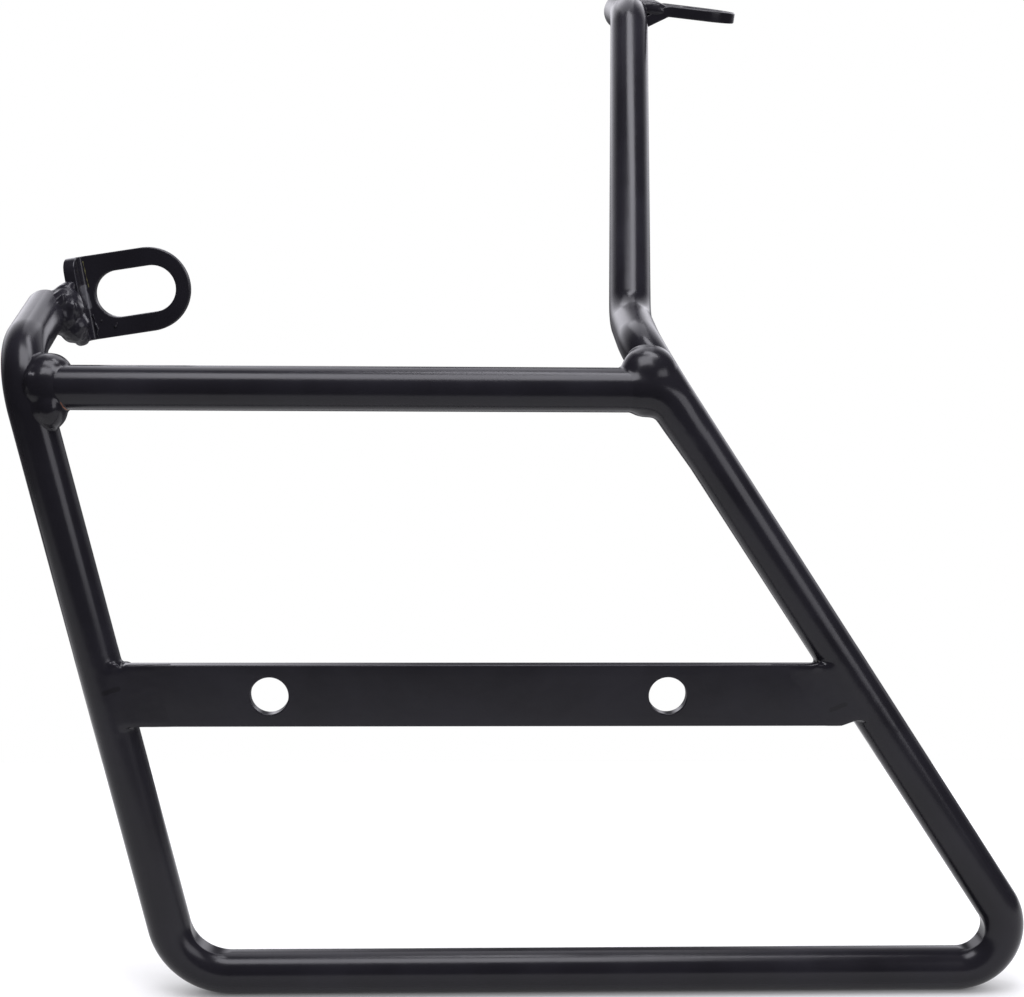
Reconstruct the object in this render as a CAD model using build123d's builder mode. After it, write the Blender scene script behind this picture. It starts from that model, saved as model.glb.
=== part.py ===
"""Side pannier frame for a motorbike: one bent round tube, a cross tube, a drilled bag bar and two slotted
lugs, all welded together.

Millimetres and degrees. X runs from the front leg towards the rear leg, Y runs inboard towards the wheel and
Z is up. The origin lies midway between the bag bar's two bolt holes, on the bar's outer face.
"""

import os
from math import cos, radians, sin, sqrt, tan

from build123d import *

# Tube stock, shared by the bent tube and the cross tube
tube_d = 14.0
tube_wall = 2.0

# Hoop: centre lines of the legs, the bottom run and the cross tube, all in one upright plane
bar_to_bottom = 94.2
bar_to_cross = 96.7
front_reach = 115.0
rear_reach = 125.7
front_lean = 13.0
rear_lean = 33.7
lower_front_bend = 20.5
lower_rear_bend = 14.5

# Shoulders: above the cross tube both legs turn inboard and rise a little
front_shoulder_rise = 9.0
rear_shoulder_rise = 10.6
shoulder_slope = 15.6
front_shoulder_bend = 22.0
rear_shoulder_bend = 24.0
front_run = 45.5
rear_run = 52.5

# Stalk: the rear end climbs inboard to the upper fixing and levels out there
stalk_length = 135.5
stalk_lean = 40.8
stalk_splay = 3.6
stalk_bend = 22.0
top_run = 31.0
top_slope = 9.0
top_bend = 20.0

# Bag bar: flat strip with two bolt holes, let in just behind the front of the legs
bar_height = 20.0
bar_thickness = 4.0
bar_inset = 1.0
bar_clip_length = 5.0
bar_clip_height = 1.8
hole_d = 12.0
hole_spacing = 126.0

# Cross tube: how far each saddle cut stops short of the leg's centre line
cope_relief = 2.0

# Lugs: slotted strip with one round end and a short bent leg
lug_thickness = 4.0
lug_bend_inside = 1.5
front_lug_width = 28.0
front_slot_length = 27.0
front_slot_width = 15.5
front_lug_rim = 4.7
front_lug_neck = 1.8
front_lug_bend = 84.0
front_lug_leg = 5.0
front_lug_rise = 9.0
front_lug_lap = 0.3
front_lug_lift = 2.6
front_leg_corner = 5.0
top_tab_width = 24.0
top_slot_length = 17.0
top_slot_width = 10.0
top_tab_rim = 4.0
top_tab_neck = 5.0
top_tab_bend = 32.0
top_tab_leg = 9.2
top_tab_tilt = 6.0
top_tab_drop = 3.0
top_tab_lap = 3.0
top_tab_along = 18.0

# Weld metal: round lobes at the tube joints, a neck at the front lug, three-sided fillets at the flat pieces
lobe_r = 7.8
front_lobe_gap = 8.2
front_weld_offset = 7.2
front_weld_drop = 0.6
rear_lobe_gap = 6.0
rear_weld_offset = 5.0
rear_weld_lift = 2.0
bar_fillet = 3.2
bar_fillet_margin = 1.5
neck_r = 8.0
neck_drop = 2.0
end_weld = 2.5
end_weld_chamfer = 1.5
tab_fillet = 3.5

# Derived places
tube_r = tube_d / 2
hoop_y = tube_r - bar_inset
rightward = Vector(1, 0, 0)


def front_leg_at(z):
    """Point on the front leg's centre line at height z."""
    return Vector(-front_reach - z * tan(radians(front_lean)), hoop_y, z)


def rear_leg_at(z):
    """Point on the rear leg's centre line at height z."""
    return Vector(rear_reach - z * tan(radians(rear_lean)), hoop_y, z)


inboard = Vector(0, cos(radians(shoulder_slope)), sin(radians(shoulder_slope)))
climb = Vector(tan(radians(stalk_splay)), tan(radians(stalk_lean)), 1).normalized()
level = Vector(0, cos(radians(top_slope)), sin(radians(top_slope)))
front_along = Vector(-sin(radians(front_lean)), 0, cos(radians(front_lean)))
rear_along = Vector(-sin(radians(rear_lean)), 0, cos(radians(rear_lean)))

front_shoulder = front_leg_at(bar_to_cross + front_shoulder_rise)
rear_shoulder = rear_leg_at(bar_to_cross + rear_shoulder_rise)
front_end = front_shoulder + inboard * front_run
stalk_foot = rear_shoulder + inboard * rear_run
stalk_top = stalk_foot + climb * stalk_length
top_end = stalk_top + level * top_run

# The bent tube's centre line, from its front end round the hoop to the top of the stalk
with BuildLine() as tube_line:
    FilletPolyline(
        front_end,
        front_shoulder,
        front_leg_at(-bar_to_bottom),
        rear_leg_at(-bar_to_bottom),
        rear_shoulder,
        stalk_foot,
        stalk_top,
        top_end,
        radius=[
            front_shoulder_bend,
            lower_front_bend,
            lower_rear_bend,
            rear_shoulder_bend,
            stalk_bend,
            top_bend,
        ],
    )
tube_start = Plane(origin=tube_line.line @ 0, z_dir=tube_line.line % 0)

# Main tube: one length of round tube with six bends
with BuildPart() as main_tube:
    with BuildSketch(tube_start):
        Circle(tube_r)
        Circle(tube_r - tube_wall, mode=Mode.SUBTRACT)
    sweep(path=tube_line.line)

# The main tube's outside as a full solid, to shape what is fitted against it
with BuildPart() as tube_outside:
    with BuildSketch(tube_start):
        Circle(tube_r)
    sweep(path=tube_line.line)

# Cross tube: saddle-cut at both ends to sit on the legs
cross_from = front_leg_at(bar_to_cross) + rightward * cope_relief
cross_to = rear_leg_at(bar_to_cross) - rightward * cope_relief
with BuildPart() as cross_tube:
    with BuildSketch(Plane(origin=cross_from, z_dir=rightward)):
        Circle(tube_r)
        Circle(tube_r - tube_wall, mode=Mode.SUBTRACT)
    extrude(amount=cross_to.X - cross_from.X)
    add(tube_outside.part, mode=Mode.SUBTRACT)

with BuildPart() as cross_outside:
    with BuildSketch(Plane(origin=cross_from, z_dir=rightward)):
        Circle(tube_r)
    extrude(amount=cross_to.X - cross_from.X)

# Bag bar: a strip from leg to leg, its two blunt corners clipped, saddle-cut into the legs
half_bar = bar_height / 2
clip_front = front_leg_at(half_bar).X + tube_r / cos(radians(front_lean))
clip_rear = rear_leg_at(-half_bar).X - tube_r / cos(radians(rear_lean))
with BuildPart() as bag_bar:
    with BuildSketch(Plane.XZ):
        with BuildLine():
            Polyline(
                (front_leg_at(-half_bar).X, -half_bar),
                (clip_rear - bar_clip_length, -half_bar),
                (clip_rear, bar_clip_height - half_bar),
                (rear_leg_at(bar_clip_height - half_bar).X, bar_clip_height - half_bar),
                (rear_leg_at(half_bar).X, half_bar),
                (clip_front + bar_clip_height, half_bar),
                (clip_front, half_bar - bar_clip_height),
                (front_leg_at(half_bar - bar_clip_height).X, half_bar - bar_clip_height),
                close=True,
            )
        make_face()
        with GridLocations(hole_spacing, 0, 2, 1):
            Circle(hole_d / 2, mode=Mode.SUBTRACT)
    extrude(amount=-bar_thickness)
    add(tube_outside.part, mode=Mode.SUBTRACT)


def slotted_lug(seat_face, width, slot_length, slot_width, rim, neck, bend, leg, toward_face):
    """Slotted strip on seat_face, round at its +x end and bent to a leg at its -x end.

    The slot's centre is the plane's origin. The leg turns to the face's own side where toward_face is 1, and
    to the far side where it is -1.
    """
    bend_x = -slot_length / 2 - neck
    round_x = slot_length / 2 + rim - width / 2
    mid = seat_face.offset(-lug_thickness / 2)
    bend_start = mid.from_local_coords(Vector(bend_x, 0, 0))
    section = Plane(origin=bend_start, x_dir=-seat_face.x_dir, z_dir=seat_face.y_dir * toward_face)
    with BuildLine(section) as leg_line:
        turn = JernArc((0, 0), (1, 0), lug_bend_inside + lug_thickness / 2, bend)
        PolarLine(turn @ 1, leg, direction=turn % 1)
    with BuildPart() as lug:
        with BuildSketch(seat_face):
            with Locations(((bend_x + round_x) / 2, 0)):
                Rectangle(round_x - bend_x, width)
            with Locations((round_x, 0)):
                Circle(width / 2)
            SlotOverall(slot_length, slot_width, mode=Mode.SUBTRACT)
        extrude(amount=-lug_thickness)
        with BuildSketch(Plane(origin=bend_start, x_dir=seat_face.y_dir, z_dir=-seat_face.x_dir)):
            Rectangle(width, lug_thickness)
        sweep(path=leg_line.line)
    return lug


# Front lug: its face looks outboard, and its leg's end laps the front end of the main tube
front_x = Vector(cos(radians(front_lug_rise)), 0, sin(radians(front_lug_rise)))
turn_in = radians(front_lug_bend)
leg_end_x = (
    -front_slot_length / 2
    - front_lug_neck
    - (lug_bend_inside + lug_thickness) * sin(turn_in)
    - front_lug_leg * cos(turn_in)
)
leg_end_out = lug_bend_inside - (lug_bend_inside + lug_thickness) * cos(turn_in) + front_lug_leg * sin(turn_in)
lug_seat = front_end + Vector(tube_r - front_lug_lap, tube_r * sin(radians(shoulder_slope)), front_lug_lift)
front_slot_centre = lug_seat - front_x * leg_end_x + Vector(0, leg_end_out, 0)
front_face = Plane(origin=front_slot_centre, x_dir=front_x, z_dir=(0, -1, 0))
front_lug = slotted_lug(
    front_face,
    front_lug_width,
    front_slot_length,
    front_slot_width,
    front_lug_rim,
    front_lug_neck,
    front_lug_bend,
    front_lug_leg,
    1,
)
leg_out = Vector(0, -sin(turn_in), 0) - front_x * cos(turn_in)
with front_lug:
    leg_end = front_lug.faces().sort_by(Axis(lug_seat, leg_out))[-1]
    fillet(leg_end.edges().group_by(SortBy.LENGTH)[0].sort_by(Axis.Z)[-1], radius=front_leg_corner)
    add(tube_outside.part, mode=Mode.SUBTRACT)

# Top tab: lies level beside the top run, its leg cut to the tube's flank
flank = sqrt(tube_r**2 - top_tab_drop**2)
leg_pitch = radians(top_tab_bend - top_tab_tilt)
top_x = Vector(cos(radians(top_tab_tilt)), 0, -sin(radians(top_tab_tilt)))
top_normal = top_x.cross(level).normalized()
tab_root = stalk_top + level * top_tab_along
tab_seat = tab_root + rightward * flank + rightward.cross(level) * -top_tab_drop
leg_up = rightward * cos(leg_pitch) + rightward.cross(level) * sin(leg_pitch)
bend_tangent = (lug_bend_inside + lug_thickness / 2) * tan(radians(top_tab_bend) / 2)
top_slot_centre = (
    tab_seat
    + leg_up * (top_tab_leg + bend_tangent)
    + top_x * (bend_tangent + top_tab_neck + top_slot_length / 2)
    + top_normal * lug_thickness / 2
)
top_face = Plane(origin=top_slot_centre, x_dir=top_x, z_dir=top_normal)
top_tab = slotted_lug(
    top_face,
    top_tab_width,
    top_slot_length,
    top_slot_width,
    top_tab_rim,
    top_tab_neck,
    top_tab_bend,
    top_tab_leg + top_tab_lap,
    -1,
)
with top_tab:
    add(tube_outside.part, mode=Mode.SUBTRACT)


def weld_lobes(joint, along, gap):
    """Two balls of weld metal that run into each other, one above and one below a tube joint."""
    with BuildPart() as lobes:
        with Locations(joint - along * gap / 2, joint + along * gap / 2):
            Sphere(lobe_r)
    return lobes


# Cross tube welds: full lobes in the corners between the cross tube and each leg
front_joint = front_leg_at(bar_to_cross - front_weld_drop) + rightward * front_weld_offset
rear_joint = rear_leg_at(bar_to_cross + rear_weld_lift) - rightward * rear_weld_offset
front_lobes = weld_lobes(front_joint, front_along, front_lobe_gap)
rear_lobes = weld_lobes(rear_joint, rear_along, rear_lobe_gap)


def weld_fillet(section, tube_toe, plate_toe, length):
    """Three-sided bead along a tube, from tube_toe on its skin to plate_toe on the piece beside it.

    The section's origin is on the tube's centre line, and its normal runs along the tube.
    """
    with BuildPart() as bead:
        with BuildSketch(section):
            with BuildLine():
                Polyline((0, 0), tube_toe, plate_toe, close=True)
            make_face()
        extrude(amount=length / 2, both=True)
    return bead


def bar_fillet_at(leg_at, along, lean, side):
    """Fillet behind one end of the bag bar, along the leg."""
    bar_back = bar_thickness - hoop_y
    toe_y = bar_back + bar_fillet
    seam = sqrt(tube_r**2 - bar_back**2)
    across = along.cross(Vector(0, -1, 0)) * -side
    section = Plane(origin=leg_at(-seam * across.Z), x_dir=across, z_dir=along * side)
    length = (bar_height - 2 * bar_fillet_margin) / cos(radians(lean))
    return weld_fillet(section, (sqrt(tube_r**2 - toe_y**2), toe_y), (seam + bar_fillet, bar_back), length)


# Bag bar welds: one fillet behind each end of the bar
front_bar_fillet = bar_fillet_at(front_leg_at, front_along, front_lean, 1)
rear_bar_fillet = bar_fillet_at(rear_leg_at, rear_along, rear_lean, -1)

# Front lug weld: a thick neck from the tube's end to the lug's leg, and a cap over the cut end
neck_start = Vector(front_end.X, lug_seat.Y, lug_seat.Z - neck_drop)
with BuildPart() as lug_neck:
    with BuildSketch(Plane(origin=front_end, z_dir=inboard)):
        Circle(tube_r)
    extrude(amount=end_weld)
    chamfer(lug_neck.faces().sort_by(Axis(front_end, inboard))[-1].edges(), length=end_weld_chamfer)
    with BuildSketch(Plane(origin=neck_start, z_dir=rightward)):
        Circle(neck_r)
    extrude(amount=lug_seat.X - neck_start.X)

# Top tab weld: one fillet above the tab's leg, along the top run
leg_across = Vector(-sin(leg_pitch), cos(leg_pitch)) * lug_thickness / 2
leg_run = Vector(cos(leg_pitch), sin(leg_pitch)) * (top_tab_lap + tab_fillet)
tab_toe = Vector(flank, -top_tab_drop) + leg_across + leg_run
tab_bead = weld_fillet(
    Plane(origin=tab_root, x_dir=rightward, z_dir=-level),
    (sqrt(tube_r**2 - tab_fillet**2), tab_fillet),
    (tab_toe.X, tab_toe.Y),
    top_tab_width,
)

# Weld beads: all the weld metal, cut back to the pieces that it joins
joined = [tube_outside, cross_outside, bag_bar, front_lug, top_tab]
with BuildPart() as weld_beads:
    for bead in (front_lobes, rear_lobes, front_bar_fillet, rear_bar_fillet, lug_neck, tab_bead):
        add(bead.part)
    add([piece.part for piece in joined], mode=Mode.SUBTRACT)

pieces = {
    "main_tube": main_tube,
    "cross_tube": cross_tube,
    "bag_bar": bag_bar,
    "front_lug": front_lug,
    "top_tab": top_tab,
    "weld_beads": weld_beads,
}
os.makedirs("parts", exist_ok=True)
for name, piece in pieces.items():
    piece.part.label = name
    export_step(piece.part, f"parts/{name}.step")
    print(name, len(piece.part.solids()), "solids", round(piece.part.volume), "mm3")
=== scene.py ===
from math import cos, pi, radians, sin, sqrt, tan

import bmesh
import bpy
from mathutils import Matrix, Vector, noise


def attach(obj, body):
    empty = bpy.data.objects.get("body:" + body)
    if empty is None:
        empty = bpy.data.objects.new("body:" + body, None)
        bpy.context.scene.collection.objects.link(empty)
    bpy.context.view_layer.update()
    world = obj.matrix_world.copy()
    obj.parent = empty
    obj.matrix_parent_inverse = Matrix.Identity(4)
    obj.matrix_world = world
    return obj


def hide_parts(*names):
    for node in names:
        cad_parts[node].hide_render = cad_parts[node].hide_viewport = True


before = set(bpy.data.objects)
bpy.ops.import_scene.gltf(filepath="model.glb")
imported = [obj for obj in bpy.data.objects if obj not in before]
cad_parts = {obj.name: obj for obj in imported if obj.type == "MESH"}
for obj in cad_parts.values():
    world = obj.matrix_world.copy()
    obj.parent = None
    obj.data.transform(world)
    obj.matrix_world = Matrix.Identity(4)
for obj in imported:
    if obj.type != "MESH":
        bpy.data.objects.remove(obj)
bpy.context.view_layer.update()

# Main tube
# One length of 14 mm round steel tube with a 2 mm wall, cold bent six times round a former. It makes the
# front end, both legs, the bottom run, the stalk and the top run, and every other piece is welded to it.
mm = 0.001
tube_r = 7 * mm
tube_wall = 2 * mm
tube_sides = 96
rim_round = 0.4 * mm
bend_step = radians(2.5)
pinch_depth = 0.8 * mm
hoop_y = 6 * mm
cross_z = 96.7 * mm
bottom_z = -94.2 * mm
front_reach, front_lean = 115 * mm, radians(13)
rear_reach, rear_lean = 125.7 * mm, radians(33.7)
front_shoulder_rise, rear_shoulder_rise = 9 * mm, 10.6 * mm
front_run, rear_run, shoulder_slope = 45.5 * mm, 52.5 * mm, radians(15.6)
stalk_length, stalk_lean, stalk_splay = 135.5 * mm, radians(40.8), radians(3.6)
elbow_sag = 7.5 * mm
top_run, top_slope = 31 * mm, radians(9)
front_shoulder_bend, lower_front_bend, lower_rear_bend = 22 * mm, 20.5 * mm, 14.5 * mm
rear_shoulder_bend, stalk_bend, top_bend = 24 * mm, 22 * mm, 20 * mm


def front_leg_at(z):
    """Point on the front leg's centre line at height z."""
    return Vector((-front_reach - z * tan(front_lean), hoop_y, z))


def rear_leg_at(z):
    """Point on the rear leg's centre line at height z."""
    return Vector((rear_reach - z * tan(rear_lean), hoop_y, z))


inboard = Vector((0, cos(shoulder_slope), sin(shoulder_slope)))
climb = Vector((tan(stalk_splay), tan(stalk_lean), 1)).normalized()
level = Vector((0, cos(top_slope), sin(top_slope)))
front_shoulder = front_leg_at(cross_z + front_shoulder_rise)
rear_shoulder = rear_leg_at(cross_z + rear_shoulder_rise)
front_end = front_shoulder + inboard * front_run
stalk_top = rear_shoulder + inboard * rear_run + climb * stalk_length
stalk_foot = stalk_top - climb * (stalk_length + elbow_sag)
top_end = stalk_top + level * top_run


def of_kind(items, kind):
    """The verts, or the edges, among what a bmesh operator gives back."""
    return [item for item in items if isinstance(item, kind)]


def bent_tube(bm, corners, bends, radius):
    """Extrudes a ring of edges along each straight run and spins it round each bend."""
    heading = (corners[1] - corners[0]).normalized()
    start = Matrix.Translation(corners[0]) @ heading.to_track_quat("Z", "Y").to_matrix().to_4x4()
    ring = bmesh.ops.create_circle(bm, segments=tube_sides, radius=radius, matrix=start)["verts"]
    ring_edges = list({edge for vert in ring for edge in vert.link_edges})
    at = corners[0]
    for corner, after, bend_r in zip(corners[1:], corners[2:] + [None], bends + [0]):
        heading = (corner - at).normalized()
        angle = heading.angle(after - corner) if after else 0
        back_off = bend_r * tan(angle / 2)
        grown = bmesh.ops.extrude_edge_only(bm, edges=ring_edges)["geom"]
        ring = of_kind(grown, bmesh.types.BMVert)
        bmesh.ops.translate(bm, verts=ring, vec=corner - at - heading * back_off)
        far = set(ring)
        ring_edges = [edge for edge in of_kind(grown, bmesh.types.BMEdge) if far.issuperset(edge.verts)]
        if not after:
            break
        turned = (after - corner).normalized()
        inward = (turned - heading * heading.dot(turned)).normalized()
        spun = bmesh.ops.spin(
            bm,
            geom=ring + ring_edges,
            cent=corner - heading * back_off + inward * bend_r,
            axis=heading.cross(turned).normalized(),
            angle=angle,
            steps=max(2, round(angle / bend_step)),
        )["geom_last"]
        ring_edges = of_kind(spun, bmesh.types.BMEdge)
        at = corner + turned * back_off
    bmesh.ops.recalc_face_normals(bm, faces=bm.faces)


def finished(name, bm, coat, *nodes):
    """Makes a smooth-shaded object of the mesh, in this coat, that stands for these CAD nodes."""
    mesh = bpy.data.meshes.new(name)
    bm.to_mesh(mesh)
    bm.free()
    mesh.shade_smooth()
    mesh.materials.append(coat)
    piece = bpy.data.objects.new(name, mesh)
    bpy.context.collection.objects.link(piece)
    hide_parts(*nodes)
    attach(piece, "root")
    return piece


def wall_and_rims(piece):
    """Gives a tube's skin its wall, inwards, and rounds the sawn rims."""
    wall = piece.modifiers.new("tube wall", "SOLIDIFY")
    wall.thickness = tube_wall
    wall.offset = -1
    rim = piece.modifiers.new("deburred rims", "BEVEL")
    rim.width = rim_round
    rim.segments = 3
    rim.limit_method = "ANGLE"
    rim.angle_limit = radians(60)
    rim.harden_normals = True


def paint(code):
    """An sRGB hex colour as the linear colour that a socket takes."""
    parts = [int(code[i : i + 2], 16) / 255 for i in (1, 3, 5)]
    return [p / 12.92 if p <= 0.04045 else ((p + 0.055) / 1.055) ** 2.4 for p in parts] + [1]


def node(material, kind, inputs, **settings):
    """Adds one node with its settings, each input a value or another node's output."""
    made = material.node_tree.nodes.new("ShaderNode" + kind)
    for key, value in settings.items():
        setattr(made, key, value)
    for key, value in inputs.items():
        if isinstance(value, bpy.types.NodeSocket):
            material.node_tree.links.new(value, made.inputs[key])
        else:
            made.inputs[key].default_value = value
    return made


def arithmetic(material, operation, *values):
    """Adds one Math node and gives its result."""
    return node(material, "Math", dict(enumerate(values)), operation=operation).outputs[0]


def ramp(material, value, low, high, low_result, high_result):
    """Adds one Map Range node, which goes from one result to the other between low and high."""
    inputs = {"Value": value, 1: low, 2: high, 3: low_result, 4: high_result}
    return node(material, "MapRange", inputs).outputs["Result"]


drift_size, wave_size, peel_size = 30 * mm, 7 * mm, 1.6 * mm
wave_depth = 0.03 * mm
coat_shine = 0.22
coat_roughness = 0.19, 0.26


def black_powder_coat(name, peel_depth, scars_and_painted_light=()):
    """Satin black polyester powder, baked on: a near-black skin with soft-edged, slightly wavy reflections.

    The orange peel is a few tenths of a millimetre to two millimetres wide, and the coat thickens and thins
    over a few centimetres, which shows as small changes in gloss and depth of black. A scar is a line in a
    colour of its own: its two ends, its half width and that colour. Some scars are real, rust or a line
    where the coat didn't take, and some are painted shade or a painted highlight. Each runs a little way
    into the depth, so that it follows a curved skin.
    """
    coat = bpy.data.materials.new(name)
    coat.use_nodes = True
    shader = coat.node_tree.nodes["Principled BSDF"]
    shader.inputs["Specular IOR Level"].default_value = coat_shine
    place = node(coat, "TexCoord", {}).outputs["Object"]
    drift = node(coat, "TexNoise", {"Vector": place, "Scale": 1 / drift_size, "Detail": 3}).outputs["Fac"]
    wave = node(coat, "TexNoise", {"Vector": place, "Scale": 1 / wave_size, "Detail": 1}).outputs["Fac"]
    peel = node(coat, "TexNoise", {"Vector": place, "Scale": 1 / peel_size, "Detail": 2}).outputs["Fac"]
    shades = node(coat, "ValToRGB", {"Fac": drift})
    for stop, position, code in zip(shades.color_ramp.elements, (0.35, 0.65), ("#17161a", "#1d1c21")):
        stop.position = position
        stop.color = paint(code)
    colour = shades.outputs["Color"]
    shallow = Vector((1, 0.25, 1))
    flat_place = node(coat, "VectorMath", {0: place, 1: shallow}, operation="MULTIPLY").outputs[0]
    for start, end, half_width, scar_and_painted_colour in scars_and_painted_light:
        line = (end - start) * shallow
        ends = {0: flat_place, 1: start * shallow}
        offset = node(coat, "VectorMath", ends, operation="SUBTRACT").outputs[0]
        ends = {0: offset, 1: line / line.length_squared}
        share = node(coat, "VectorMath", ends, operation="DOT_PRODUCT").outputs["Value"]
        share = node(coat, "Clamp", {"Value": share}).outputs[0]
        foot = node(coat, "VectorMath", {0: line, "Scale": share}, operation="SCALE").outputs[0]
        gap = node(coat, "VectorMath", {0: offset, 1: foot}, operation="DISTANCE").outputs["Value"]
        ragged = arithmetic(coat, "MULTIPLY_ADD", peel, half_width, gap)
        scar_and_painted_mask = ramp(coat, ragged, 1.2 * half_width, 1.6 * half_width, 1, 0)
        layers = {0: scar_and_painted_mask, 6: colour, 7: paint(scar_and_painted_colour)}
        colour = node(coat, "Mix", layers, data_type="RGBA").outputs[2]
    coat.node_tree.links.new(colour, shader.inputs["Base Color"])
    gloss = ramp(coat, drift, 0.3, 0.7, *coat_roughness)
    coat.node_tree.links.new(gloss, shader.inputs["Roughness"])
    slow = node(coat, "Bump", {"Height": wave, "Strength": 1, "Distance": wave_depth}).outputs["Normal"]
    grain = {"Height": peel, "Strength": 1, "Distance": peel_depth, "Normal": slow}
    fine = node(coat, "Bump", grain).outputs["Normal"]
    coat.node_tree.links.new(fine, shader.inputs["Normal"])
    return coat


tube_peel = 0.006 * mm
tube_coat = black_powder_coat("black powder coat on drawn tube", tube_peel)
tube_corners = [
    front_end,
    front_shoulder,
    front_leg_at(bottom_z),
    rear_leg_at(bottom_z),
    rear_shoulder,
    stalk_foot,
    stalk_top,
    top_end,
]
tube_bends = [
    front_shoulder_bend,
    lower_front_bend,
    lower_rear_bend,
    rear_shoulder_bend,
    stalk_bend,
    top_bend,
]


def pinch(bm, before, corner, after, bend_r, depth):
    """Flattens the inside of one bend, as bending without a mandrel does."""
    heading, turned = (corner - before).normalized(), (after - corner).normalized()
    half_turn = heading.angle(turned) / 2
    axis = heading.cross(turned).normalized()
    inside = (turned - heading).normalized()
    centre = corner + inside * bend_r / cos(half_turn)
    for vert in bm.verts:
        spoke = vert.co - centre
        aside = spoke.dot(axis)
        spoke -= axis * aside
        swing = spoke.angle(-inside)
        least = bend_r - tube_r + depth * cos(min(swing / half_turn, 1) * pi / 2)
        if abs(aside) < tube_r and spoke.length < least:
            vert.co += spoke.normalized() * (least - spoke.length)


bm = bmesh.new()
bent_tube(bm, tube_corners, tube_bends, tube_r)
for i in (1, 2):
    pinch(bm, *tube_corners[i : i + 3], tube_bends[i], pinch_depth)
wall_and_rims(finished("bent_main_tube", bm, tube_coat, "main_tube"))

# Cross tube
# A straight length of the same tube between the tops of the legs, with both ends coped to sit on them and
# welded all round.
cope_relief = 2 * mm
rightward = Vector((1, 0, 0))
cross_from = front_leg_at(cross_z) + rightward * cope_relief
cross_to = rear_leg_at(cross_z) - rightward * cope_relief
bm = bmesh.new()
bent_tube(bm, [cross_from, cross_to], [], tube_r)
rusty_seam = [
    (Vector((-125.3, -0.5, 92.9)) * mm, Vector((-124.7, 1.0, 91.2)) * mm, 0.16 * mm, "#5e3824"),
    (Vector((-124.7, 1.0, 91.2)) * mm, Vector((-124.0, 3.0, 90.1)) * mm, 0.2 * mm, "#6d4029"),
    (Vector((-124.0, 3.0, 90.1)) * mm, Vector((-122.9, 5.0, 89.5)) * mm, 0.2 * mm, "#57432f"),
]
cross_coat = black_powder_coat("black powder coat on drawn tube, rusty at a seam", tube_peel, rusty_seam)
wall_and_rims(finished("coped_cross_tube", bm, cross_coat, "cross_tube"))

# Bag bar
# A 20 by 4 mm mild steel strip across the legs, cut from bar stock with two punched 12 mm bolt holes. Its
# ends are let into the legs and its two blunt corners are clipped.
bar_half, bar_thickness = 10 * mm, 4 * mm
bar_hole_r, bar_hole_x = 6 * mm, 63 * mm
bar_clip_length, bar_clip_height = 5 * mm, 1.8 * mm
bar_edge_round = 0.4 * mm
clip_front = front_leg_at(bar_half).x + tube_r / cos(front_lean)
clip_rear = rear_leg_at(-bar_half).x - tube_r / cos(rear_lean)
low_clip, high_clip = bar_clip_height - bar_half, bar_half - bar_clip_height


def outline(bm, points):
    """Joins points into a closed loop of edges."""
    verts = [bm.verts.new(point) for point in points]
    return [bm.edges.new((a, b)) for a, b in zip(verts, verts[1:] + verts[:1])]


def thicken(bm, depth):
    """Turns a flat cut-out into a plate by drawing all its faces along depth."""
    drawn = bmesh.ops.extrude_face_region(bm, geom=bm.faces[:])["geom"]
    bmesh.ops.translate(bm, verts=of_kind(drawn, bmesh.types.BMVert), vec=depth)
    bmesh.ops.recalc_face_normals(bm, faces=bm.faces)


def round_edges(bm, offset):
    """Rounds every sharp edge, as tumbling and the coat leave it."""
    sharp = [edge for edge in bm.edges if edge.is_manifold and edge.calc_face_angle() > radians(50)]
    bmesh.ops.bevel(
        bm,
        geom=sharp,
        offset=offset,
        affect="EDGES",
        segments=3,
        profile=0.5,
        material=-1,
        clamp_overlap=True,
    )


def flat_faces_stay_flat(piece):
    """Weighs the shading normals by face area, so that only the rounded edges turn the light."""
    piece.modifiers.new("flat faces", "WEIGHTED_NORMAL").keep_sharp = True


bm = bmesh.new()
cuts = outline(
    bm,
    [
        (front_leg_at(-bar_half).x, 0, -bar_half),
        (clip_rear - bar_clip_length, 0, -bar_half),
        (clip_rear, 0, low_clip),
        (rear_leg_at(low_clip).x, 0, low_clip),
        (rear_leg_at(bar_half).x, 0, bar_half),
        (clip_front + bar_clip_height, 0, bar_half),
        (clip_front, 0, high_clip),
        (front_leg_at(high_clip).x, 0, high_clip),
    ],
)
for side in (-1, 1):
    punch = Matrix.Translation((side * bar_hole_x, 0, 0)) @ Matrix.Rotation(pi / 2, 4, "X")
    hole = bmesh.ops.create_circle(bm, segments=64, radius=bar_hole_r, matrix=punch)["verts"]
    cuts += list({edge for vert in hole for edge in vert.link_edges})
bmesh.ops.triangle_fill(bm, use_beauty=True, edges=cuts)
thicken(bm, (0, bar_thickness, 0))
round_edges(bm, bar_edge_round)
# The two short darker lines beside the bar's ends are painted shade, standing in for small hollows in the
# dressed welds.
painted_hollow_shade = [
    (Vector((-114.6, -0.7, 1.2)) * mm, Vector((-110.2, -0.5, 2.6)) * mm, 0.8 * mm, "#121115"),
    (Vector((115.4, -0.4, -4.6)) * mm, Vector((119.6, -0.6, -2.8)) * mm, 0.8 * mm, "#121115"),
]
bar_coat = black_powder_coat("black powder coat on rolled strip", 0.008 * mm, painted_hollow_shade)
flat_faces_stay_flat(finished("drilled_bag_bar", bm, bar_coat, "bag_bar"))

# Front lug
# A 28 by 4 mm steel strip with one round end and a long slot for the front fixing. Its other end is folded
# almost square into a short leg, which is welded to the front end of the main tube.
lug_thickness = 4 * mm
fold_inside = 1.5 * mm
fold_outside = fold_inside + lug_thickness
lug_edge_round = 0.5 * mm


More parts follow.
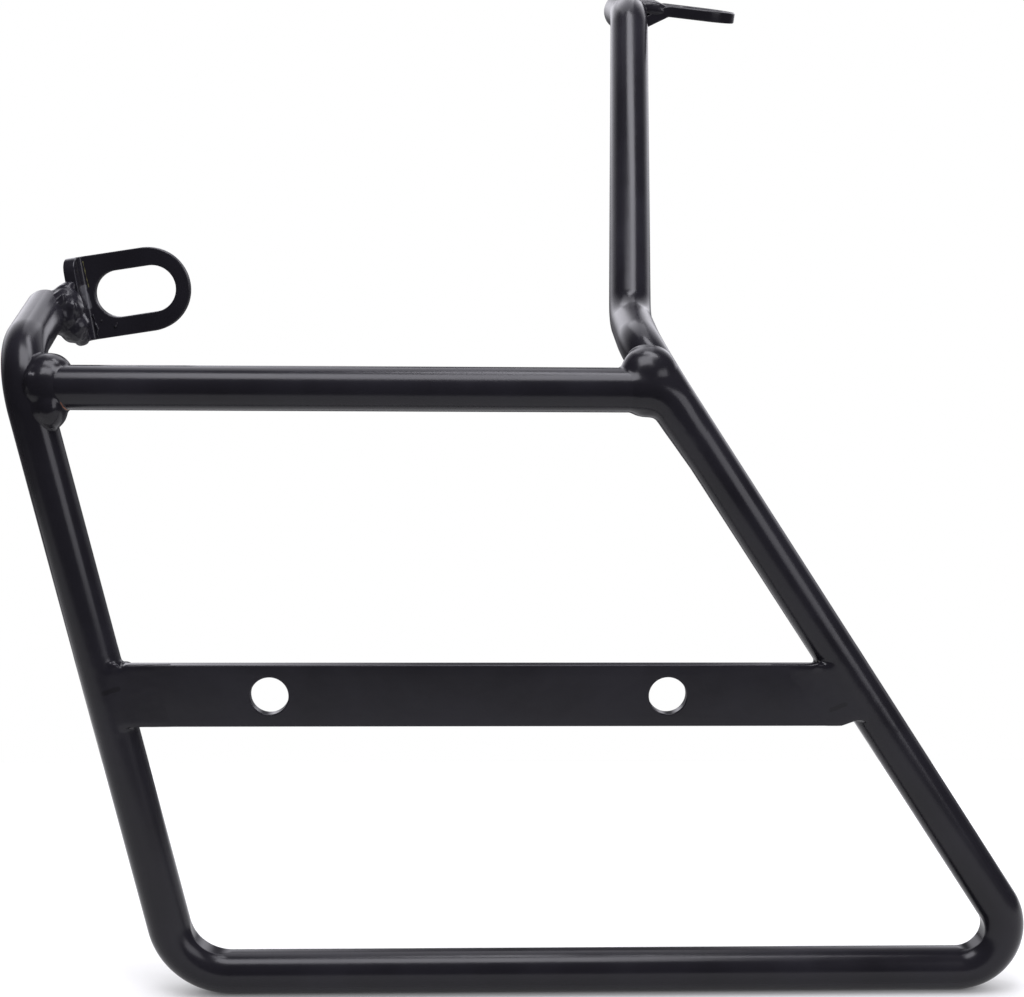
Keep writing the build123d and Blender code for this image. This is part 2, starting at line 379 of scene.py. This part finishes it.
def slotted_lug(face, width, slot_length, slot_width, rim, neck, fold, leg, fold_r, corner):
    """Cuts a slotted strip in face's XY plane and folds its -X end into a leg round fold_r.

    The sign of fold_r says to which side it folds, and corner rounds the leg's upper corner.
    """
    bm = bmesh.new()
    slot_r, slot_x = slot_width / 2, (slot_length - slot_width) / 2
    end_x, fold_x = slot_length / 2 + rim - width / 2, -slot_length / 2 - neck
    out = (0, 0, 1)
    start = bm.verts.new((slot_x, -slot_r, 0))
    for side in (1, -1):
        middle = (side * slot_x, 0, 0)
        arc = bmesh.ops.spin(bm, geom=[start], cent=middle, axis=out, angle=pi, steps=24)["geom_last"]
        turned = of_kind(arc, bmesh.types.BMVert)[0]
        start = bm.verts.new((-side * slot_x, side * slot_r, 0))
        bm.edges.new((turned, start))
    foot = bm.verts.new((end_x, -width / 2, 0))
    middle = (end_x, 0, 0)
    arc = bmesh.ops.spin(bm, geom=[foot], cent=middle, axis=out, angle=pi, steps=40)["geom_last"]
    head = of_kind(arc, bmesh.types.BMVert)[0]
    upper, lower = bm.verts.new((fold_x, width / 2, 0)), bm.verts.new((fold_x, -width / 2, 0))
    bm.edges.new((head, upper))
    fold_line = bm.edges.new((upper, lower))
    bm.edges.new((lower, foot))
    bmesh.ops.remove_doubles(bm, verts=bm.verts, dist=0.001 * mm)
    bmesh.ops.triangle_fill(bm, use_beauty=True, edges=bm.edges)
    lean = fold if fold_r > 0 else -fold
    bend = bmesh.ops.spin(
        bm,
        geom=[upper, lower, fold_line],
        cent=(fold_x, 0, fold_r),
        axis=(0, 1, 0),
        angle=lean,
        steps=12,
    )["geom_last"]
    leg_root = of_kind(bend, bmesh.types.BMEdge)
    drawn = bmesh.ops.extrude_edge_only(bm, edges=leg_root)["geom"]
    tip = of_kind(drawn, bmesh.types.BMVert)
    bmesh.ops.translate(bm, verts=tip, vec=(-cos(lean) * leg, 0, sin(lean) * leg))
    if corner:
        top_corner = max(tip, key=lambda vert: vert.co.y)
        bmesh.ops.bevel(
            bm, geom=[top_corner], offset=corner, affect="VERTICES", segments=8, profile=0.5, material=-1
        )
    bmesh.ops.recalc_face_normals(bm, faces=bm.faces)
    if min(bm.faces, key=lambda part: abs(part.calc_center_median().z)).normal.z < 0:
        bmesh.ops.reverse_faces(bm, faces=bm.faces)
    bmesh.ops.solidify(bm, geom=bm.faces[:], thickness=lug_thickness)
    bmesh.ops.recalc_face_normals(bm, faces=bm.faces)
    round_edges(bm, lug_edge_round)
    bmesh.ops.transform(bm, matrix=face, verts=bm.verts)
    return bm


def face_frame(centre, along, normal):
    """Matrix of a plate's face: its slot's centre, the strip's run and the way that the face looks."""
    across = normal.cross(along)
    turn = Matrix((along, across, normal)).transposed().to_4x4()
    return Matrix.Translation(centre) @ turn


lug_rise = radians(9)
front_fold = radians(84)
lug_leg = 5 * mm
front_slot = 27 * mm
front_neck = 1.8 * mm
lug_aside, lug_lift = 6.7 * mm, 2.6 * mm
lug_seat = front_end + Vector((lug_aside, tube_r * sin(shoulder_slope), lug_lift))
front_along = Vector((cos(lug_rise), 0, sin(lug_rise)))
leg_end_x = -front_slot / 2 - front_neck - fold_outside * sin(front_fold) - lug_leg * cos(front_fold)
leg_end_out = fold_inside - fold_outside * cos(front_fold) + lug_leg * sin(front_fold)
front_slot_centre = lug_seat - front_along * leg_end_x + Vector((0, leg_end_out, 0))
bm = slotted_lug(
    face_frame(front_slot_centre, front_along, Vector((0, -1, 0))),
    width=28 * mm,
    slot_length=front_slot,
    slot_width=15.5 * mm,
    rim=4.7 * mm,
    neck=front_neck,
    fold=front_fold,
    leg=lug_leg,
    fold_r=fold_inside,
    corner=5 * mm,
)
# Along the fold, the upper yellow-green line is bare metal where the coat didn't take; the lower, wider grey
# line is a painted highlight along the fold.
bare_fold_and_highlight = [
    (Vector((-128.8, 56.5, 133.5)) * mm, Vector((-127.1, 56.5, 125.2)) * mm, 0.3 * mm, "#6d6a45"),
    (Vector((-128.5, 55.5, 125.2)) * mm, Vector((-126.8, 55.5, 118.6)) * mm, 0.9 * mm, "#4a4a4d"),
]
lug_coat = black_powder_coat("black powder coat on cut plate", 0.010 * mm, bare_fold_and_highlight)
flat_faces_stay_flat(finished("slotted_front_lug", bm, lug_coat, "front_lug"))

# Top tab
# A smaller slotted strip of the same plate, 24 mm wide, folded down a little so that its leg meets the
# flank of the top run, where it is welded along its width.
tab_tilt, tab_fold = radians(6), radians(32)
tab_drop, tab_along, tab_leg, tab_lap = 3 * mm, 18 * mm, 9.2 * mm, 3 * mm
tab_slot, tab_neck = 17 * mm, 5 * mm
flank = sqrt(tube_r**2 - tab_drop**2)
tab_run = Vector((cos(tab_tilt), 0, -sin(tab_tilt)))
tab_normal = tab_run.cross(level).normalized()
over = rightward.cross(level)
tab_seat = stalk_top + level * tab_along + rightward * flank - over * tab_drop
leg_pitch = tab_fold - tab_tilt
leg_up = rightward * cos(leg_pitch) + over * sin(leg_pitch)
fold_tangent = (fold_inside + lug_thickness / 2) * tan(tab_fold / 2)
tab_slot_centre = (
    tab_seat
    + leg_up * (tab_leg + fold_tangent)
    + tab_run * (fold_tangent + tab_neck + tab_slot / 2)
    + tab_normal * lug_thickness / 2
)
bm = slotted_lug(
    face_frame(tab_slot_centre, tab_run, tab_normal),
    width=24 * mm,
    slot_length=tab_slot,
    slot_width=10 * mm,
    rim=4 * mm,
    neck=tab_neck,
    fold=tab_fold,
    leg=tab_leg + tab_lap,
    fold_r=-fold_outside,
    corner=0,
)
flat_faces_stay_flat(finished("slotted_top_tab", bm, lug_coat, "top_tab"))

# Cross tube welds
# Hand-run beads all round both coped ends, left undressed, so the coat flows over full, rounded metal that
# feathers into the tubes. The rear one is a smooth knuckle, as if the cross tube bent into the leg.
skin_gap = 0.12 * mm
stub_r, stub_z, stub_length = tube_r - skin_gap, 72 * mm, 24 * mm
weld_voxel = 0.4 * mm


def cap_ends(bm):
    """Closes the open rings of a stub, a length of tube just under the real skin, where a weld fades out."""
    bmesh.ops.holes_fill(bm, edges=[edge for edge in bm.edges if edge.is_boundary], sides=0)


def mound(bm, centre, half_sizes, turn=0, axis="Y"):
    """Adds one ellipsoid of weld metal, its half sizes in millimetres, turned about one axis."""
    sizes = Matrix.Diagonal(Vector(half_sizes)).to_4x4()
    place = Matrix.Translation(Vector(centre)) @ Matrix.Rotation(turn, 4, axis) @ sizes
    bmesh.ops.create_uvsphere(bm, u_segments=40, v_segments=24, radius=mm, matrix=place)


def mounds(bm, rows, axis="Y"):
    """Adds a mound for each row: its centre and half sizes in millimetres and its turn in degrees."""
    for centre, half_sizes, turn in rows:
        mound(bm, Vector(centre) * mm, half_sizes, radians(turn), axis)


def taper(bm, start, end, start_r, end_r):
    """Adds a plain round taper from one point to another."""
    along = (end - start).to_track_quat("Z", "Y").to_matrix().to_4x4()
    bmesh.ops.create_cone(
        bm,
        cap_ends=True,
        segments=tube_sides,
        radius1=start_r,
        radius2=end_r,
        depth=(end - start).length,
        matrix=Matrix.Translation((start + end) / 2) @ along,
    )


def run_together(name, bm, coat, soften, lump, lump_size):
    """Fuses the shapes into one skin, softens its corners, and lumps it as a cooled puddle is."""
    mesh = bpy.data.meshes.new(name + " shapes")
    bm.to_mesh(mesh)
    bm.free()
    shapes = bpy.data.objects.new(name + " shapes", mesh)
    bpy.context.collection.objects.link(shapes)
    fuse = shapes.modifiers.new("fuse", "REMESH")
    fuse.mode = "VOXEL"
    fuse.voxel_size = weld_voxel
    skin = bpy.data.meshes.new_from_object(shapes.evaluated_get(bpy.context.evaluated_depsgraph_get()))
    bpy.data.objects.remove(shapes)
    bm = bmesh.new()
    bm.from_mesh(skin)
    for _ in range(soften):
        bmesh.ops.smooth_vert(
            bm, verts=bm.verts, factor=0.5, use_axis_x=True, use_axis_y=True, use_axis_z=True
        )
    bm.normal_update()
    for vert in bm.verts:
        swell = noise.noise(vert.co / lump_size) + 0.35 * noise.noise(vert.co * 2.7 / lump_size)
        vert.co += vert.normal * lump * swell
    return finished(name, bm, coat, "weld_beads")


weld_coat = black_powder_coat("black powder coat on weld metal", 0.012 * mm, rusty_seam)
bm = bmesh.new()
front_stub = front_shoulder + inboard * stub_length
bent_tube(bm, [front_leg_at(stub_z), front_shoulder, front_stub], [front_shoulder_bend], stub_r)
bent_tube(bm, [cross_from, cross_from + rightward * stub_length], [], stub_r)
cap_ends(bm)
front_lumps = [
    ((-130.8, 5.8, 96.4), (8.2, 7.7, 9.0), 0),
    ((-130.2, 8.0, 101.8), (7.0, 6.6, 5.4), 0),
    ((-131.8, 5.7, 90.6), (6.2, 7.0, 7.4), 0),
    ((-129.4, 4.5, 90.8), (5.4, 6.8, 7.2), 0),
    ((-134.5, 0.5, 97.2), (2.0, 1.7, 5.0), 10),
]
mounds(bm, front_lumps, "X")
run_together("front_joint_weld", bm, weld_coat, 10, 0.12 * mm, 6 * mm)

bm = bmesh.new()
rear_stub = rear_shoulder + (stalk_foot - rear_shoulder).normalized() * stub_length
bent_tube(bm, [rear_leg_at(stub_z), rear_shoulder, rear_stub], [rear_shoulder_bend], stub_r)
bent_tube(bm, [cross_to - rightward * stub_length, cross_to], [], stub_r)
cap_ends(bm)
nudge = Vector((-0.5, 0, 0)) * mm
elbow_r, elbow_bend, elbow_z = tube_r + 0.45 * mm, 12 * mm, 90 * mm
elbow = [Vector((50.4, 6, 96.7)) * mm, rear_leg_at(cross_z) + nudge, rear_leg_at(elbow_z) + nudge]
bent_tube(bm, elbow, [elbow_bend], elbow_r)
cap_ends(bm)
taper(bm, elbow[2], rear_leg_at(stub_z), elbow_r, stub_r)
rear_lumps = [
    ((57.0, 8.5, 98.0), (8.0, 8.5, 8.6), 0),
    ((55.5, 7.0, 90.6), (6.0, 5.0, 2.6), 0),
    ((55.8, 7.2, 102.3), (9.0, 6.4, 9.0), -35),
]
mounds(bm, rear_lumps, "X")
run_together("rear_joint_weld", bm, weld_coat, 45, 0.05 * mm, 6 * mm)

# Bag bar welds
# Each end of the bar is filled in front and dressed flush, so that the leg runs into the bar's face, and
# has a full fillet behind, laid in short overlapping dabs.
fill_length, fill_depth, fill_half_height = 24 * mm, 2.4 * mm, 10.25 * mm
fill_clip, fill_steps = 8.35 * mm, 12
fill_sunk, fill_proud = 0.05 * mm, 1 * mm
sleeve_r = tube_r + 0.06 * mm
sleeve = [(-22, -12, stub_r, sleeve_r), (-12, 12, sleeve_r, sleeve_r), (12, 22, sleeve_r, stub_r)]
strip_length, strip_middle = 18 * mm, 15 * mm
bar_dab_pitch = 2.6 * mm
for name, leg_at, lean, side, clip_x, clip_length, corner_x in (
    ("front_bar_weld", front_leg_at, front_lean, 1, clip_front, bar_clip_height, -111.4 * mm),
    ("rear_bar_weld", rear_leg_at, rear_lean, -1, clip_rear, bar_clip_length, 110.6 * mm),
):
    bm = bmesh.new()
    rim = [
        (leg_at(-side * fill_half_height).x, 0, -side * fill_half_height),
        (leg_at(-side * fill_half_height).x + side * fill_length, 0, -side * fill_half_height),
        (leg_at(side * fill_half_height).x + side * fill_length, 0, side * fill_half_height),
        (clip_x + side * (clip_length + skin_gap), 0, side * fill_half_height),
        (clip_x + side * skin_gap, 0, side * fill_clip),
        (leg_at(side * fill_clip).x, 0, side * fill_clip),
    ]
    bmesh.ops.triangle_fill(bm, use_beauty=True, edges=outline(bm, rim))
    for step in range(1, fill_steps):
        bmesh.ops.bisect_plane(
            bm,
            geom=bm.verts[:] + bm.edges[:] + bm.faces[:],
            plane_co=leg_at(0) + rightward * side * fill_length * step / fill_steps,
            plane_no=(cos(lean), 0, sin(lean)),
        )
    for vert in bm.verts:
        nearness = 1 - abs(vert.co.x - leg_at(vert.co.z).x) / fill_length
        vert.co.y = fill_sunk - nearness**2 * fill_proud
    thicken(bm, (0, fill_depth, 0))
    for low, high, low_r, high_r in sleeve:
        taper(bm, leg_at(low * mm), leg_at(high * mm), low_r, high_r)
    strip = Matrix.Diagonal((strip_length, bar_thickness - 2 * skin_gap, 2 * fill_clip, 1))
    middle = leg_at(0) + Vector((side * strip_middle, bar_thickness / 2 - hoop_y, 0))
    bmesh.ops.create_cube(bm, size=1, matrix=Matrix.Translation(middle) @ strip)
    root = Vector((1.10 * side * tube_r / cos(lean), -0.6 * mm, 0))
    for step in range(-3, 4):
        mound(bm, leg_at(step * bar_dab_pitch) + root, (2.9, 2.6, 2.2), -lean)
    mound(bm, (corner_x, 0.4 * mm, 9.6 * mm), (1.8, 1.1, 1.3))
    run_together(name, bm, bar_coat, 14, 0.02 * mm, 5 * mm)

# Front lug weld
# A thick, uneven neck of weld fills the gap from the tube's end to the lug's leg, and a thinner pass closes
# the sawn end of the tube. Small balls of spatter stick to the lug beside the neck.
neck_stub, neck_gap = 8 * mm, 0.35 * mm
bm = bmesh.new()
bent_tube(bm, [front_end - inboard * neck_stub, front_end], [], stub_r - neck_gap)
cap_ends(bm)
mound(bm, front_end + inboard * 0.4 * mm, (6.8, 6.8, 2.4), shoulder_slope - pi / 2, "X")
neck_lumps = [
    ((-133.2, 48.2, 117.4), (6.0, 6.0, 8.0), 10),
    ((-134.8, 50.2, 123.2), (5.8, 3.6, 2.6), -38),
    ((-130.4, 49.2, 112.6), (5.0, 5.0, 5.6), 10),
    ((-128.6, 51.0, 108.8), (2.8, 3.0, 3.0), 10),
    ((-134.2, 42.8, 119.6), (1.5, 1.3, 4.8), 25),
    ((-130.2, 44.0, 117.2), (1.4, 1.3, 3.8), 15),
]
mounds(bm, neck_lumps)
spatter_y = 57.5
for x, z, size in (
    (-125.9, 115.5, 0.7),
    (-125.0, 112.5, 0.9),
    (-125.3, 114.3, 0.6),
    (-124.8, 109.8, 0.8),
    (-124.2, 108.2, 0.6),
    (-123.3, 113.9, 0.6),
    (-124.4, 111.2, 0.9),
    (-118.7, 112.2, 0.8),
    (-118.0, 113.2, 0.6),
):
    mound(bm, Vector((x, spatter_y, z)) * mm, (size, size, size))
run_together("front_lug_weld", bm, weld_coat, 9, 0.4 * mm, 3.6 * mm)

# Top tab weld
# Two short beads along the tab's width, laid in overlapping dabs: one above its leg and one under the
# leg's cut end. The tube stays open inside them.
stub_before, stub_past, bore_gap = 14 * mm, 12 * mm, 0.3 * mm
tab_dab_pitch = 2.5 * mm
bm = bmesh.new()
tab_root = stalk_top + level * tab_along
bent_tube(bm, [tab_root - level * stub_before, tab_root + level * stub_past], [], stub_r)
bmesh.ops.solidify(bm, geom=bm.faces[:], thickness=tube_wall - bore_gap)
bmesh.ops.recalc_face_normals(bm, faces=bm.faces)
for step in range(-4, 5):
    dab = tab_root + level * step * tab_dab_pitch
    mound(bm, dab + rightward * 10 * mm + over * 2.3 * mm, (6.4, 2.4, 2.9), radians(12))
    mound(bm, dab + rightward * 4.9 * mm - over * 5.6 * mm, (2.4, 2.2, 1.8))
run_together("top_tab_weld", bm, weld_coat, 5, 0.14 * mm, 3 * mm)

# Studio
# A sheet of pale paper in a white room, three soft panels overhead for the long highlights and one to the
# right. In the coat the room shows as two bright flanks behind the frame with a dim gap between them.
cool_white = (0.94, 0.93, 1)
floor_z = -101.3 * mm
bm = bmesh.new()
sheet = Matrix.Translation((0, -0.065, floor_z)) @ Matrix.Diagonal((0.6, 0.315, 1, 1))
bmesh.ops.create_grid(bm, x_segments=1, y_segments=1, size=1, matrix=sheet)
floor_mesh = bpy.data.meshes.new("paper_floor")
bm.to_mesh(floor_mesh)
bm.free()
# Matt white paper: it looks almost as white as the room and keeps a soft shadow where the frame stands.
paper_glow, shadow_reach = 0.58, 60 * mm
paper = bpy.data.materials.new("matt white paper")
paper.use_nodes = True
paper_shader = paper.node_tree.nodes["Principled BSDF"]
paper_shader.inputs["Base Color"].default_value = paint("#b4b4b4")
paper_shader.inputs["Roughness"].default_value = 0.9
paper_shader.inputs["Emission Color"].default_value = (1, 1, 1, 1)
ray = node(paper, "LightPath", {}).outputs
seen = arithmetic(paper, "MAXIMUM", ray["Is Camera Ray"], ray["Is Glossy Ray"])
seen = arithmetic(paper, "MAXIMUM", seen, ray["Is Transmission Ray"])
shade = node(paper, "AmbientOcclusion", {"Distance": shadow_reach}).outputs["AO"]
lift = arithmetic(paper, "MULTIPLY", seen, shade)
lift = arithmetic(paper, "MULTIPLY", lift, paper_glow)
paper.node_tree.links.new(lift, paper_shader.inputs["Emission Strength"])
floor_mesh.materials.append(paper)
floor = bpy.data.objects.new("paper_floor", floor_mesh)
bpy.context.collection.objects.link(floor)

world = bpy.data.worlds.new("white room")
bpy.context.scene.world = world
world.use_nodes = True
sky = world.node_tree.nodes["Background"]
ray = node(world, "LightPath", {}).outputs
way = node(world, "TexCoord", {}).outputs["Generated"]
aim = node(world, "SeparateXYZ", {"Vector": way}).outputs
aside = arithmetic(world, "SUBTRACT", aim["X"], 0.06)
aside = arithmetic(world, "ABSOLUTE", aside)
flanks = ramp(world, aside, 0.08, 0.26, 0.15, 2.6)
raised = ramp(world, aim["Z"], 0.02, 0.20, 0.1, 1.0)
astern = ramp(world, aim["Y"], 0.38, 0.9, 0.0, 1.0)
glow = arithmetic(world, "MULTIPLY", flanks, raised)
behind = arithmetic(world, "MULTIPLY_ADD", glow, astern, 0.06)
mirrored = arithmetic(world, "MAXIMUM", ray["Is Glossy Ray"], ray["Is Transmission Ray"])
shown = node(world, "Mix", {"Factor": mirrored, "A": 0.5, "B": behind}).outputs["Result"]
strength = node(world, "Mix", {"Factor": ray["Is Camera Ray"], "A": shown, "B": 1.0}).outputs["Result"]
world.node_tree.links.new(strength, sky.inputs["Strength"])
tints = {0: ray["Is Camera Ray"], 6: (*cool_white, 1), 7: (1, 1, 1, 1)}
tint = node(world, "Mix", tints, data_type="RGBA").outputs[2]
world.node_tree.links.new(tint, sky.inputs["Color"])


def soft_panel(name, at, toward, width, height, brightness):
    """A flat diffuser of this brightness, where white paper in plain light has a brightness of 1."""
    light = bpy.data.lights.new(name, "AREA")
    light.shape = "RECTANGLE"
    light.size, light.size_y = width, height
    light.energy = brightness * pi * width * height
    light.color = cool_white
    lamp = bpy.data.objects.new(name, light)
    aim = (Vector(toward) - Vector(at)).to_track_quat("-Z", "Y")
    lamp.matrix_world = Matrix.Translation(at) @ aim.to_matrix().to_4x4()
    bpy.context.collection.objects.link(lamp)


soft_panel("overhead_panel", (-0.06, -0.24, 0.80), (-0.06, 0.0, 0.0), 0.50, 0.40, 9)
soft_panel("right_overhead_panel", (0.14, 0.05, 0.80), (0.10, 0.08, 0.0), 0.17, 0.42, 10.5)
soft_panel("rear_overhead_panel", (-0.025, 0.55, 0.80), (0.0, 0.08, 0.0), 0.55, 0.60, 2.0)
soft_panel("right_panel", (0.70, -0.58, 0.36), (0.05, 0.0, 0.2), 0.50, 0.60, 4.2)

lens = bpy.data.cameras.new("camera")
lens.sensor_width = 36
lens.lens = 63.32
camera = bpy.data.objects.new("camera", lens)
pan, pitch, roll = radians(-1.957), radians(90 - 9.276), radians(0.47)
turn = Matrix.Rotation(pan, 4, "Z") @ Matrix.Rotation(pitch, 4, "X")
tilt = Matrix.Rotation(roll, 4, "Z")
camera.matrix_world = Matrix.Translation((-5.86 * mm, -551.95 * mm, 153.55 * mm)) @ turn @ tilt
bpy.context.collection.objects.link(camera)
bpy.context.scene.camera = camera
bpy.context.scene.view_settings.view_transform = "Standard"
